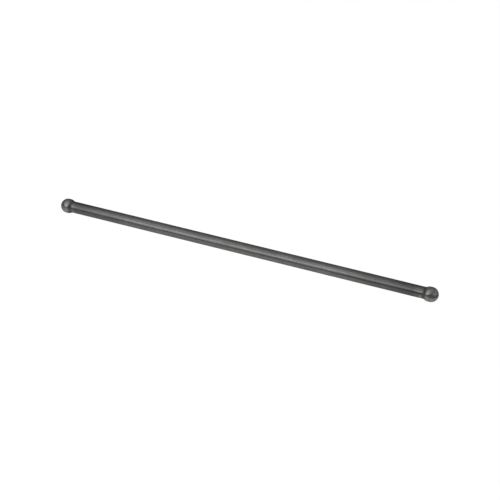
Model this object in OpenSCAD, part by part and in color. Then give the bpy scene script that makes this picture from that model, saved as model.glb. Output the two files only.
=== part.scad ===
// Engine pushrod: one solid steel rod with a ball formed on each end.
// The rod lies along X, with the origin on its axis at half its length.

/* [Shank] */
// Length over both spherical ends
overall_length = 222.25; // [120:0.05:320]
// Diameter of the straight shank between the balls
shank_d = 6.35; // [4:0.05:7.5]

/* [Ball ends] */
// Diameter of the ground spherical end that runs in a lifter or rocker cup
ball_d = 7.94; // [6.8:0.01:12]
// Length of the cylindrical belt between the spherical end and the back of the ball
belt_length = 0.7; // [0.1:0.05:4]
// Radius of the concave fillet where the back of the ball runs into the shank
neck_fillet_r = 0.55; // [0.15:0.05:3]

/* [Hidden] */
$fn = 96;

// The profile is drawn with the radius along X and the rod's axis along Y
ball_r = ball_d / 2;
shank_r = shank_d / 2;
// Centre of the spherical end, and centre of the round back of the ball
tip_centre = overall_length / 2 - ball_r;
back_centre = tip_centre - belt_length;
// Centre of the fillet circle, which touches the shank and the back of the ball
fillet_radius_at = shank_r + neck_fillet_r;
fillet_setback = sqrt(pow(ball_r + neck_fillet_r, 2) - pow(fillet_radius_at, 2));
fillet_centre = back_centre - fillet_setback;

// Half of a ball's section, on the outer side of the axis
module half_disc(centre) {
    translate([0, centre])
        intersection() {
            circle(r = ball_r);
            translate([0, -ball_r])
                square([ball_r, ball_d]);
        }
}

// Section of the neck: the wedge between the three centres, less the fillet circle
module neck_section() {
    difference() {
        polygon([
            [0, fillet_centre],
            [fillet_radius_at, fillet_centre],
            [0, back_centre]
        ]);
        translate([fillet_radius_at, fillet_centre])
            circle(r = neck_fillet_r);
    }
}

// Section of one end: spherical tip, belt, round back and filleted neck
module ball_end_section() {
    half_disc(tip_centre);
    translate([0, back_centre])
        square([ball_r, belt_length]);
    half_disc(back_centre);
    neck_section();
}

// Section of the straight shank, from one neck to the other
module shank_section() {
    translate([0, -fillet_centre])
        square([shank_r, 2 * fillet_centre]);
}

module pushrod() {
    color("dimgray")
        rotate([0, 90, 0])
            rotate_extrude()
                union() {
                    shank_section();
                    ball_end_section();
                    mirror([0, 1])
                        ball_end_section();
                }
}

pushrod();
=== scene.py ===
"""Looks of the engine pushrod: the finely turned rod, its dark steel, and a small studio round it."""
import math

import bmesh
import bpy
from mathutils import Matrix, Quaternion, Vector


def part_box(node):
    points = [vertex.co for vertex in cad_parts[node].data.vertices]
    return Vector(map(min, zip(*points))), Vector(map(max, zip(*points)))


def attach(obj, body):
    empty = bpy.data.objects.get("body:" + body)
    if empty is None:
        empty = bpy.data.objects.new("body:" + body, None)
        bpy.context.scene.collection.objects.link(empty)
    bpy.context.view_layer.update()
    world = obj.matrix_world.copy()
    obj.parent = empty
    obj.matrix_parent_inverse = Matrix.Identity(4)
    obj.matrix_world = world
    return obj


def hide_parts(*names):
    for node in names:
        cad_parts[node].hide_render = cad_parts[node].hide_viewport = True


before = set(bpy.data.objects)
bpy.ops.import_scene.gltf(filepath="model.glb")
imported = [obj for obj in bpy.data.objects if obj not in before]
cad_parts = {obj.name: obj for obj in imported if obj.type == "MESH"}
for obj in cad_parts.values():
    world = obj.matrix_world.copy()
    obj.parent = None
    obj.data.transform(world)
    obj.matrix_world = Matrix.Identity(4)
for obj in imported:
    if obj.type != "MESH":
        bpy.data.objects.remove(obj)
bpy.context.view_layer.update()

MM = 0.001

# Sizes of the rod that the frame doesn't give, in metres
SHANK_RADIUS = 3.175 * MM
BELT_LENGTH = 0.70 * MM
NECK_FILLET = 0.55 * MM

# Fineness of the turned mesh
SIDES = 160
TIP_STEPS = 26
BACK_STEPS = 12
FILLET_STEPS = 8
BELT_STEPS = 2
SHANK_STEPS = 48

# The photograph's view
LENS_MM = 132.87
SENSOR_MM = 36.0
VIEW_AZIMUTH = 26.435
VIEW_ELEVATION = 29.810
VIEW_DISTANCE = 0.97816
VIEW_TARGET = Vector((4.641 * MM, 0.070 * MM, 0.050 * MM))
CLIP_NEAR = 0.01
CLIP_FAR = 50.0

# Studio, lengths in metres; ROOM_HORIZON is the height on a unit sphere where the room grows lighter
FLOOR_BELOW = 0.060
FLOOR_HALF = 6.0
FLOOR_COLOUR = (0.45, 0.45, 0.45, 1.0)
FLOOR_GLOW = 0.67
CARD_GAP = 1.0 * MM
KEY_DISTANCE = 0.75
LIGHT_DISTANCE = 9.0
ROOM_COLOUR = (1.0, 1.0, 1.0, 1.0)
ROOM_HORIZON = 0.15
ROOM_LOW = 0.30
ROOM_HIGH = 0.70

# Steel: how pale and how rough it is, its tints and its relief
SHANK_STEEL = 0.125
BALL_STEEL = 0.172
SHANK_ROUGHNESS = 0.242
BALL_ROUGHNESS = 0.215
RIM_TINT = (0.6, 0.6, 0.6, 1.0)
ROSE_TINT = (1.03, 1.0, 1.02, 1.0)
STRAW_TINT = (0.995, 1.0, 0.965, 1.0)
TEMPER_TINT = (1.04, 0.995, 0.95, 1.0)
# Rosy tint of the painted shade in each neck
NECK_SHADE_TINT = (1.06, 0.93, 0.97, 1.0)
RELIEF_STRENGTH = 0.25
RELIEF_DEPTH = 0.02 * MM

# How far the heat marks lie towards -X of the rod's middle
HARDENED_SHIFT = 2.5 * MM
TEMPER_SHIFT = 1.40 * MM

# Colour sockets of a Mix node, which share their names with its number sockets
MIX_COLOUR_A = 6
MIX_COLOUR_B = 7
MIX_COLOUR_RESULT = 2


def direction(azimuth, elevation):
    """Unit vector from the part; azimuth 0 is -Y, which faces the viewer, and 90 is +X."""
    a = math.radians(azimuth)
    e = math.radians(elevation)
    return Vector((math.sin(a) * math.cos(e), -math.cos(a) * math.cos(e), math.sin(e)))


class Rod:
    """Lengths along the rod, from the size of the solid in the frame."""
    low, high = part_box("pushrod")
    half_length = (high[0] - low[0]) / 2
    ball = (high[2] - low[2]) / 2
    tip_x = half_length - ball
    back_x = tip_x - BELT_LENGTH
    fillet_r = SHANK_RADIUS + NECK_FILLET
    setback = math.sqrt((ball + NECK_FILLET) ** 2 - fillet_r ** 2)
    neck_x = back_x - setback


def arc(centre_x, centre_r, radius, start, end, steps):
    """Points (x, r) on a circle, from the start angle to the end angle in degrees, start left out."""
    points = []
    for i in range(1, steps + 1):
        angle = math.radians(start + (end - start) * i / steps)
        points.append((centre_x + radius * math.cos(angle), centre_r + radius * math.sin(angle)))
    return points


def rod_profile():
    """Half section (x, r) of the rod from one tip to the other."""
    touch = math.degrees(math.atan2(Rod.fillet_r, -Rod.setback))
    right = [(0.0, SHANK_RADIUS)]
    right += [(Rod.neck_x * i / SHANK_STEPS, SHANK_RADIUS) for i in range(1, SHANK_STEPS + 1)]
    right += arc(Rod.neck_x, Rod.fillet_r, NECK_FILLET, -90.0, touch - 180.0, FILLET_STEPS)
    right += arc(Rod.back_x, 0.0, Rod.ball, touch, 90.0, BACK_STEPS)
    right += [(Rod.back_x + BELT_LENGTH * i / BELT_STEPS, Rod.ball) for i in range(1, BELT_STEPS + 1)]
    right += arc(Rod.tip_x, 0.0, Rod.ball, 90.0, 0.0, TIP_STEPS)
    left = [(-x, r) for x, r in reversed(right[1:])]
    return left + right


def turn(name, profile):
    """Closed mesh that the profile makes when it is turned about X."""
    mesh = bpy.data.meshes.new(name)
    bm = bmesh.new()
    first = bm.verts.new((profile[0][0], 0.0, 0.0))
    last = bm.verts.new((profile[-1][0], 0.0, 0.0))
    rings = []
    for x, r in profile[1:-1]:
        ring = []
        for k in range(SIDES):
            angle = 2 * math.pi * k / SIDES
            ring.append(bm.verts.new((x, r * math.cos(angle), r * math.sin(angle))))
        rings.append(ring)
    for k in range(SIDES):
        after = (k + 1) % SIDES
        bm.faces.new((first, rings[0][after], rings[0][k]))
        bm.faces.new((last, rings[-1][k], rings[-1][after]))
        for a, b in zip(rings, rings[1:]):
            bm.faces.new((a[k], a[after], b[after], b[k]))
    bmesh.ops.recalc_face_normals(bm, faces=bm.faces)
    for face in bm.faces:
        face.smooth = True
    bm.to_mesh(mesh)
    bm.free()
    piece = bpy.data.objects.new(name, mesh)
    bpy.context.collection.objects.link(piece)
    return piece


class Nodes:
    """Short ways to build one node tree; each that adds a node gives back the socket with its result."""

    def __init__(self, tree):
        self.tree = tree

    def plug(self, socket, value):
        """Link the socket to another one, or set it to a plain value."""
        if isinstance(value, bpy.types.NodeSocket):
            self.tree.links.new(value, socket)
        else:
            socket.default_value = value

    def math(self, operation, a, b=0.0):
        node = self.tree.nodes.new("ShaderNodeMath")
        node.operation = operation
        self.plug(node.inputs[0], a)
        self.plug(node.inputs[1], b)
        return node.outputs[0]

    def step(self, value, start, end, low=0.0, high=1.0):
        """Smooth change from low at the start to high at the end."""
        node = self.tree.nodes.new("ShaderNodeMapRange")
        node.interpolation_type = "SMOOTHSTEP"
        self.plug(node.inputs["Value"], value)
        node.inputs["From Min"].default_value = start
        node.inputs["From Max"].default_value = end
        node.inputs["To Min"].default_value = low
        node.inputs["To Max"].default_value = high
        return node.outputs["Result"]

    def band(self, value, start, full, ending, end):
        """1 between full and ending, falling to 0 at start and at end."""
        return self.math("MULTIPLY", self.step(value, start, full), self.step(value, ending, end, 1.0, 0.0))

    def noise(self, place, long, wide, detail, seed):
        """Noise that is centred on 0, with grains about that long on the axis and that wide across it."""
        scale = self.tree.nodes.new("ShaderNodeMapping")
        scale.inputs["Location"].default_value = (seed, 2.3 * seed, 0.7 * seed)
        scale.inputs["Scale"].default_value = (1.0 / long, 1.0 / wide, 1.0 / wide)
        self.plug(scale.inputs["Vector"], place)
        node = self.tree.nodes.new("ShaderNodeTexNoise")
        node.inputs["Scale"].default_value = 1.0
        node.inputs["Detail"].default_value = detail
        self.plug(node.inputs["Vector"], scale.outputs[0])
        return self.math("SUBTRACT", node.outputs["Fac"], 0.5)

    def blend(self, amount, a, b):
        """Number a where the amount is 0 and b where it is 1."""
        node = self.tree.nodes.new("ShaderNodeMix")
        self.plug(node.inputs["Factor"], amount)
        self.plug(node.inputs["A"], a)
        self.plug(node.inputs["B"], b)
        return node.outputs["Result"]

    def colour(self, kind, amount, a, b):
        """Colour a with b laid over it in the way that the kind names."""
        node = self.tree.nodes.new("ShaderNodeMix")
        node.data_type = "RGBA"
        node.blend_type = kind
        node.clamp_factor = True
        self.plug(node.inputs["Factor"], amount)
        self.plug(node.inputs[MIX_COLOUR_A], a)
        self.plug(node.inputs[MIX_COLOUR_B], b)
        return node.outputs[MIX_COLOUR_RESULT]

    def gain(self, value, effect, strength):
        """Value times 1 plus the effect at that strength."""
        more = self.math("ADD", self.math("MULTIPLY", effect, strength), 1.0)
        return self.math("MULTIPLY", value, more)


class Spot:
    """Where a point lies: coordinates, and masks of the balls, undersides, painted neck shade and nearer
    end.
    """

    def __init__(self, n):
        neck = Rod.neck_x
        self.place = n.tree.nodes.new("ShaderNodeTexCoord").outputs["Object"]
        split = n.tree.nodes.new("ShaderNodeSeparateXYZ")
        n.plug(split.inputs[0], self.place)
        self.x = split.outputs["X"]
        self.y = split.outputs["Y"]
        self.z = split.outputs["Z"]
        self.along = n.math("ABSOLUTE", self.x)
        self.ball = n.step(self.along, neck + 0.30 * MM, neck + 0.75 * MM)
        self.under = n.step(self.z, -0.8 * MM, 0.4 * MM, 1.0, 0.0)
        # Painted shade: darkens the hollow of each neck and the back of the ball beside it
        self.line = n.band(self.along, neck - 0.9 * MM, neck - 0.1 * MM, neck + 0.80 * MM, neck + 1.90 * MM)
        self.nearer = n.step(self.x, -60.0 * MM, 60.0 * MM, 0.15, 1.0)


class Grain:
    """Noises of the skin: drawn streaks and lines, blotches, specks, hues, turned rings, grit and pits."""

    def __init__(self, n, place):
        self.streaks = n.noise(place, long=14.0 * MM, wide=1.3 * MM, detail=3.0, seed=3.1)
        self.lines = n.noise(place, long=5.0 * MM, wide=0.35 * MM, detail=2.0, seed=7.7)
        self.blotches = n.noise(place, long=7.0 * MM, wide=3.5 * MM, detail=3.0, seed=11.3)
        self.specks = n.noise(place, long=1.3 * MM, wide=0.9 * MM, detail=2.0, seed=17.9)
        self.rings = n.noise(place, long=0.16 * MM, wide=40.0 * MM, detail=2.0, seed=23.5)
        self.hues = n.noise(place, long=22.0 * MM, wide=5.0 * MM, detail=2.0, seed=29.1)
        self.grit = n.noise(place, long=0.7 * MM, wide=0.7 * MM, detail=1.0, seed=37.3)
        dots = n.noise(place, long=0.6 * MM, wide=0.6 * MM, detail=2.0, seed=52.1)
        self.pits = n.step(dots, -0.20, 0.20, -1.0, 1.0)


class Heat:
    """Marks of the hardening: ends that darken in two stages, and a temper band beside each neck."""

    def __init__(self, n, spot, grain):
        neck = Rod.neck_x
        from_middle = n.math("ABSOLUTE", n.math("ADD", spot.x, HARDENED_SHIFT))
        self.dull = n.step(from_middle, neck - 44.0 * MM, neck - 25.0 * MM)
        self.black = n.step(from_middle, neck - 20.0 * MM, neck - 7.0 * MM)
        uneven = n.math("MULTIPLY", n.math("ADD", grain.blotches, grain.specks), 2.2 * MM)
        edge = n.math("ADD", n.math("ABSOLUTE", n.math("ADD", spot.x, TEMPER_SHIFT)), uneven)
        start = n.step(edge, neck - 5.0 * MM, neck - 2.4 * MM)
        end = n.step(spot.along, neck - 1.2 * MM, neck - 0.2 * MM, 1.0, 0.0)
        self.temper = n.math("MULTIPLY", start, end)


def painted_sheen_patch(n, spot, grain):
    """Pale patch of painted sheen with a ragged edge, low in front of the nearer neck."""
    neck = Rod.neck_x
    ragged = n.math("MULTIPLY", grain.specks, 4.0 * MM)
    ragged_x = n.math("ADD", spot.x, ragged)
    ragged_z = n.math("ADD", spot.z, ragged)
    beside = n.band(ragged_x, neck - 3.2 * MM, neck - 1.8 * MM, neck - 1.0 * MM, neck - 0.1 * MM)
    low = n.step(ragged_z, -1.2 * MM, 0.5 * MM, 1.0, 0.0)
    front = n.step(spot.y, -2.0 * MM, 0.0, 1.0, 0.0)
    return n.math("MULTIPLY", beside, n.math("MULTIPLY", low, front))


def steel_level(n, spot, grain, heat):
    """How pale the steel is, on the drawn shank with a patch of painted sheen, and on the ground balls with
    painted shade in each neck.
    """
    shank = n.gain(SHANK_STEEL, heat.dull, -0.20)
    shank = n.gain(shank, heat.black, -0.20)
    shank = n.gain(shank, heat.temper, 0.32)
    # Painted sheen: a pale patch low on the front of the shank beside the nearer neck
    shank = n.gain(shank, painted_sheen_patch(n, spot, grain), 1.0)
    shank = n.gain(shank, grain.streaks, 0.55)
    shank = n.gain(shank, grain.lines, 0.30)
    shank = n.gain(shank, grain.blotches, 0.45)
    ground = n.gain(BALL_STEEL, grain.rings, 0.35)
    ground = n.gain(ground, grain.blotches, 0.35)
    ground = n.gain(ground, grain.grit, 1.5)
    ground = n.gain(ground, n.math("MULTIPLY", grain.pits, spot.under), 0.60)
    # Painted shade in each neck's hollow and on the back of each ball
    ground = n.gain(ground, spot.line, -0.45)
    return n.gain(n.blend(spot.ball, shank, ground), grain.specks, 0.60)


def steel_tint(n, spot, grain, heat):
    """Rose and straw patches, and, most of all at the nearer end, warm temper and a rosy tint on the
    painted neck shade.
    """
    warm = n.math("MULTIPLY", heat.temper, spot.nearer)
    # Rosy tint laid on the painted neck shade
    rosy_shade = n.math("MULTIPLY", n.math("MULTIPLY", spot.line, 0.6), spot.nearer)
    tint = n.colour("MIX", n.step(grain.hues, -0.2, 0.2), ROSE_TINT, STRAW_TINT)
    tint = n.colour("MIX", warm, tint, TEMPER_TINT)
    return n.colour("MIX", rosy_shade, tint, NECK_SHADE_TINT)


def steel_roughness(n, spot, grain, heat):
    """Satin shank, smoother temper bands and balls, and a rough line in each neck."""
    satin = n.math("ADD", n.math("MULTIPLY", grain.streaks, 0.12), n.math("MULTIPLY", grain.blotches, 0.16))
    satin = n.math("ADD", satin, SHANK_ROUGHNESS)
    satin = n.math("SUBTRACT", satin, n.math("MULTIPLY", heat.temper, 0.14))
    polish = n.math("ADD", n.math("MULTIPLY", grain.blotches, 0.10), BALL_ROUGHNESS)
    return n.math("ADD", n.blend(spot.ball, satin, polish), n.math("MULTIPLY", spot.line, 0.25))


def steel_relief(n, spot, grain):
    """Fine relief of the skin: drawn lines and specks on the shank, turned rings on the balls."""
    drawn = n.math("ADD", grain.lines, n.math("MULTIPLY", grain.specks, 0.5))
    turned = n.math("MULTIPLY", grain.rings, 0.4)
    bump = n.tree.nodes.new("ShaderNodeBump")
    bump.inputs["Strength"].default_value = RELIEF_STRENGTH
    bump.inputs["Distance"].default_value = RELIEF_DEPTH
    n.plug(bump.inputs["Height"], n.blend(spot.ball, drawn, turned))
    return bump.outputs[0]


def dark_steel():
    """Hardened steel: a satin drawn shank that darkens towards its ends, and smoother ground balls."""
    material = bpy.data.materials.new("dark_steel")
    material.use_nodes = True
    n = Nodes(material.node_tree)
    spot = Spot(n)
    grain = Grain(n, spot.place)
    heat = Heat(n, spot, grain)
    tint = steel_tint(n, spot, grain, heat)
    level = steel_level(n, spot, grain, heat)
    shader = material.node_tree.nodes["Principled BSDF"]
    shader.inputs["Metallic"].default_value = 1.0
    shader.inputs["Specular Tint"].default_value = RIM_TINT
    n.plug(shader.inputs["Base Color"], n.colour("MULTIPLY", 1.0, tint, level))
    n.plug(shader.inputs["Roughness"], steel_roughness(n, spot, grain, heat))
    n.plug(shader.inputs["Normal"], steel_relief(n, spot, grain))
    return material


def stage_material(name):
    """New material with its output node alone, and that node's surface socket."""
    material = bpy.data.materials.new(name)
    material.use_nodes = True
    material.node_tree.nodes.clear()
    out = material.node_tree.nodes.new("ShaderNodeOutputMaterial")
    return material, out.inputs["Surface"]


def pale_floor():
    """Floor finish that the camera and the steel's reflections see as white."""
    material, surface = stage_material("pale_floor")
    tree = material.node_tree
    n = Nodes(tree)
    add = tree.nodes.new("ShaderNodeAddShader")
    matt = tree.nodes.new("ShaderNodeBsdfDiffuse")
    matt.inputs["Color"].default_value = FLOOR_COLOUR
    glow = tree.nodes.new("ShaderNodeEmission")
    path = tree.nodes.new("ShaderNodeLightPath")
    seen = n.math("MAXIMUM", path.outputs["Is Camera Ray"], path.outputs["Is Glossy Ray"])
    seen = n.math("MAXIMUM", seen, path.outputs["Is Transmission Ray"])
    n.plug(glow.inputs["Strength"], n.math("MULTIPLY", seen, FLOOR_GLOW))
    n.plug(add.inputs[0], matt.outputs[0])
    n.plug(add.inputs[1], glow.outputs[0])
    n.plug(surface, add.outputs[0])
    return material


def dim_grey(name, grey):
    """Even grey that no lamp changes."""
    material, surface = stage_material(name)
    glow = material.node_tree.nodes.new("ShaderNodeEmission")
    glow.inputs["Strength"].default_value = grey
    material.node_tree.links.new(glow.outputs[0], surface)
    return material


def flat_sheet(name, width, depth, material):
    """Level sheet of the stage, centred on its own origin."""
    w = width / 2
    d = depth / 2
    mesh = bpy.data.meshes.new(name)
    mesh.from_pydata([(-w, -d, 0.0), (w, -d, 0.0), (w, d, 0.0), (-w, d, 0.0)], [], [(0, 1, 2, 3)])
    mesh.materials.append(material)
    sheet = bpy.data.objects.new(name, mesh)
    bpy.context.collection.objects.link(sheet)
    return sheet


def make_floor():
    """Floor well below the rod, which is held and doesn't lie on it."""
    floor = flat_sheet("floor", 2 * FLOOR_HALF, 2 * FLOOR_HALF, pale_floor())
    floor.location = (0.0, 0.0, -FLOOR_BELOW)


def dim_card(name, layer, grey, x, y, width, depth, turned=0.0):
    """Dim card flat on the floor, which only reflections see."""
    card = flat_sheet(name, width, depth, dim_grey(name, grey))
    card.location = (x, y, layer * CARD_GAP - FLOOR_BELOW)
    card.rotation_euler = (0.0, 0.0, math.radians(turned))
    card.visible_camera = False
    card.visible_diffuse = False
    card.visible_transmission = False
    card.visible_shadow = False


def make_cards():
    """Cards all round the part, a little above each other: they draw the dark line along the shank."""
    dim_card("left_card", layer=1, grey=0.52, x=-1.26, y=0.0, width=2.0, depth=6.0)
    dim_card("right_card", layer=2, grey=0.33, x=1.19, y=0.0, width=2.0, depth=6.0)
    dim_card("back_card", layer=3, grey=0.45, x=0.0, y=1.20, width=6.0, depth=2.0)
    dim_card("front_card", layer=4, grey=0.74, x=0.0, y=-1.155, width=6.0, depth=2.0)
    dim_card("corner_card", layer=5, grey=0.30, x=0.84, y=-0.81, width=2.0, depth=2.0, turned=45.0)


def softbox(name, azimuth, elevation, wide, high, radiance, distance=LIGHT_DISTANCE, roll=0.0):
    """Area light aimed at the part, which sees it wide by high degrees big; roll turns it about its aim."""
    place = direction(azimuth, elevation) * distance
    width = 2 * distance * math.tan(math.radians(wide / 2))
    height = 2 * distance * math.tan(math.radians(high / 2))
    light = bpy.data.lights.new(name, "AREA")
    light.shape = "RECTANGLE"
    light.size = width
    light.size_y = height
    light.energy = radiance * math.pi * width * height
    lamp = bpy.data.objects.new(name, light)
    lamp.location = place
    lamp.rotation_mode = "QUATERNION"
    facing = (-place).to_track_quat("-Z", "Y")
    lamp.rotation_quaternion = facing @ Quaternion((0.0, 0.0, 1.0), math.radians(roll))
    lamp.visible_camera = False
    bpy.context.collection.objects.link(lamp)


def make_lights():
    """Near key light that draws the pale band along the shank, and far lights over and beside it."""
    softbox("key_softbox", -28.0, 26.0, wide=32.0, high=36.0, radiance=1.40,
            distance=KEY_DISTANCE, roll=11.0)
    softbox("top_softbox", -34.0, 54.0, wide=53.0, high=51.0, radiance=0.66)
    softbox("left_fill", -100.0, 12.0, wide=53.0, high=28.0, radiance=0.08)
    softbox("right_fill", 105.0, 16.0, wide=92.0, high=45.0, radiance=0.46)


def make_world():
    """Room that is dim at the horizon and lighter overhead."""
    world = bpy.data.worlds.new("room")
    world.use_nodes = True
    tree = world.node_tree
    n = Nodes(tree)
    split = tree.nodes.new("ShaderNodeSeparateXYZ")
    n.plug(split.inputs[0], tree.nodes.new("ShaderNodeTexCoord").outputs["Generated"])
    level = n.step(split.outputs["Z"], ROOM_HORIZON, 1.0, ROOM_LOW, ROOM_HIGH)
    background = tree.nodes["Background"]
    background.inputs["Color"].default_value = ROOM_COLOUR
    n.plug(background.inputs["Strength"], level)
    bpy.context.scene.world = world


def make_camera():
    """Camera of the photograph's view."""
    data = bpy.data.cameras.new("camera")
    data.lens = LENS_MM
    data.sensor_width = SENSOR_MM
    data.clip_start = CLIP_NEAR
    data.clip_end = CLIP_FAR
    camera = bpy.data.objects.new("camera", data)
    camera.location = direction(VIEW_AZIMUTH, VIEW_ELEVATION) * VIEW_DISTANCE
    look = VIEW_TARGET - camera.location
    camera.rotation_mode = "QUATERNION"
    camera.rotation_quaternion = look.to_track_quat("-Z", "Y")
    bpy.context.collection.objects.link(camera)
    bpy.context.scene.camera = camera


make_camera()
make_world()
make_floor()
make_cards()
make_lights()

rod = turn("turned_rod", rod_profile())
rod.data.materials.append(dark_steel())
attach(rod, "root")
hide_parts("pushrod")

bpy.context.scene.view_settings.view_transform = "Standard"
